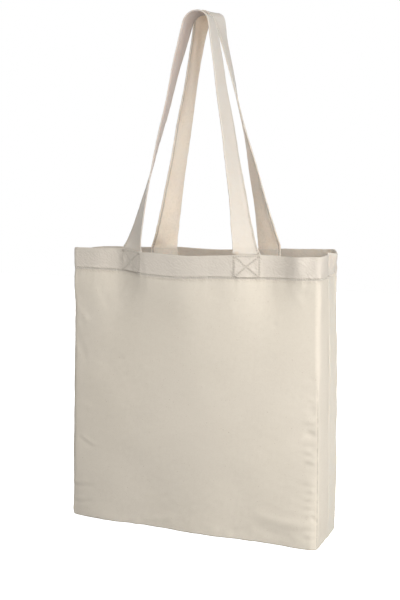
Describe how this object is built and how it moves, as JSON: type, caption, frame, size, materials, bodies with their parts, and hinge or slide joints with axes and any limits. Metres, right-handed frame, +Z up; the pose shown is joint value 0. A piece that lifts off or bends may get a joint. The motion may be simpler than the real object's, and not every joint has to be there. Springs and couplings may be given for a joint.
{
  "type": "canvas tote bag",
  "caption": "Open-topped canvas tote bag with a squared-off base, a turned hem and long flat shoulder handles sewn inside the mouth.",
  "frame": {"origin": "middle of the base, on the surface the bag stands on", "axes": "+Z up towards the handles, +X to the right across the front face, +Y from the front face to the rear face"},
  "size_m": [0.3806, 0.1126, 0.7475],
  "materials": {
    "canvas": "matte natural cotton canvas, plain weave, unbleached",
    "strap_canvas": "matte natural cotton canvas, folded lengthways and pressed",
    "seam": "raw canvas edges under overlock stitches",
    "thread": "natural spun polyester sewing thread"
  },
  "bodies": {
    "bag": {"front_panel": "canvas", "back_panel": "canvas", "left_side_seam": "seam", "right_side_seam": "seam", "base_seam": "seam", "left_corner_seam": "seam", "right_corner_seam": "seam", "hem_stitching": "thread", "front_handle_left_end": "strap_canvas", "front_handle_right_end": "strap_canvas", "rear_handle_left_end": "strap_canvas", "rear_handle_right_end": "strap_canvas", "front_left_cross_stitch": "thread", "front_right_cross_stitch": "thread", "rear_left_cross_stitch": "thread", "rear_right_cross_stitch": "thread"},
    "front_loop": {"front_handle": "strap_canvas", "front_handle_edge_stitching": "thread"},
    "rear_loop": {"rear_handle": "strap_canvas", "rear_handle_edge_stitching": "thread"}
  },
  "joints": [
    {"name": "front_handle_swing", "type": "hinge", "parent": "bag", "child": "front_loop", "pos_m": [0, -0.049, 0.41], "axis": [1, 0, 0], "range_deg": [0, 150]},
    {"name": "rear_handle_swing", "type": "hinge", "parent": "bag", "child": "rear_loop", "pos_m": [0, 0.049, 0.41], "axis": [-1, 0, 0], "range_deg": [0, 150]}
  ]
}
